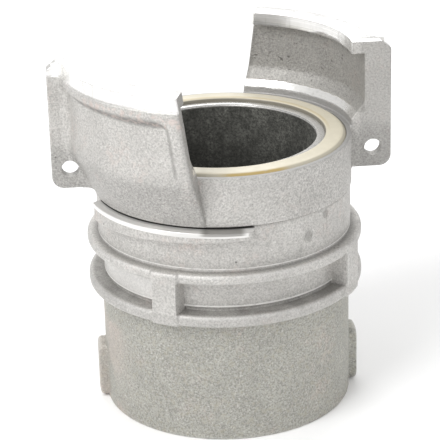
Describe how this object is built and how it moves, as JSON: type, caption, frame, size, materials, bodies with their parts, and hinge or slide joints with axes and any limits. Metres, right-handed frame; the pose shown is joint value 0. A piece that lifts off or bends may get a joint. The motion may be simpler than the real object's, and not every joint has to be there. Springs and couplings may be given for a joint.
{
  "type": "quarter turn fire hose coupling",
  "caption": "Cast aluminium symmetrical claw coupling half with hooked claws, face seal, turning locking ring and female threaded socket.",
  "frame": {"origin": "centre of the threaded socket's bottom face, on the waterway axis", "axes": "+Z along the waterway axis towards the claws; +X through the ear of claw 1; the end faces of both ears lie in the plane Y = 0"},
  "size_m": [0.144, 0.125, 0.1535],
  "materials": {
    "cast_head": "as cast, with turned faces",
    "cast_ring": "as cast, with a turned land",
    "cast_socket": "blasted cast surface",
    "seal_cream": "smooth moulded",
    "black_rubber": "matt",
    "gasket_rubber": "matt",
    "pin_steel": "ground"
  },
  "bodies": {
    "body": {"claw_head": "cast_head", "threaded_socket": "cast_socket", "face_seal": "seal_cream", "joint_o_ring": "black_rubber", "thread_gasket": "gasket_rubber", "stop_pin_1": "pin_steel", "stop_pin_2": "pin_steel"},
    "ring": {"locking_ring": "cast_ring"}
  },
  "joints": [
    {"name": "ring_turn", "type": "hinge", "parent": "body", "child": "ring", "pos_m": [0, 0, 0.0745], "axis": [0, 0, 1], "range_deg": [0, 90]}
  ]
}
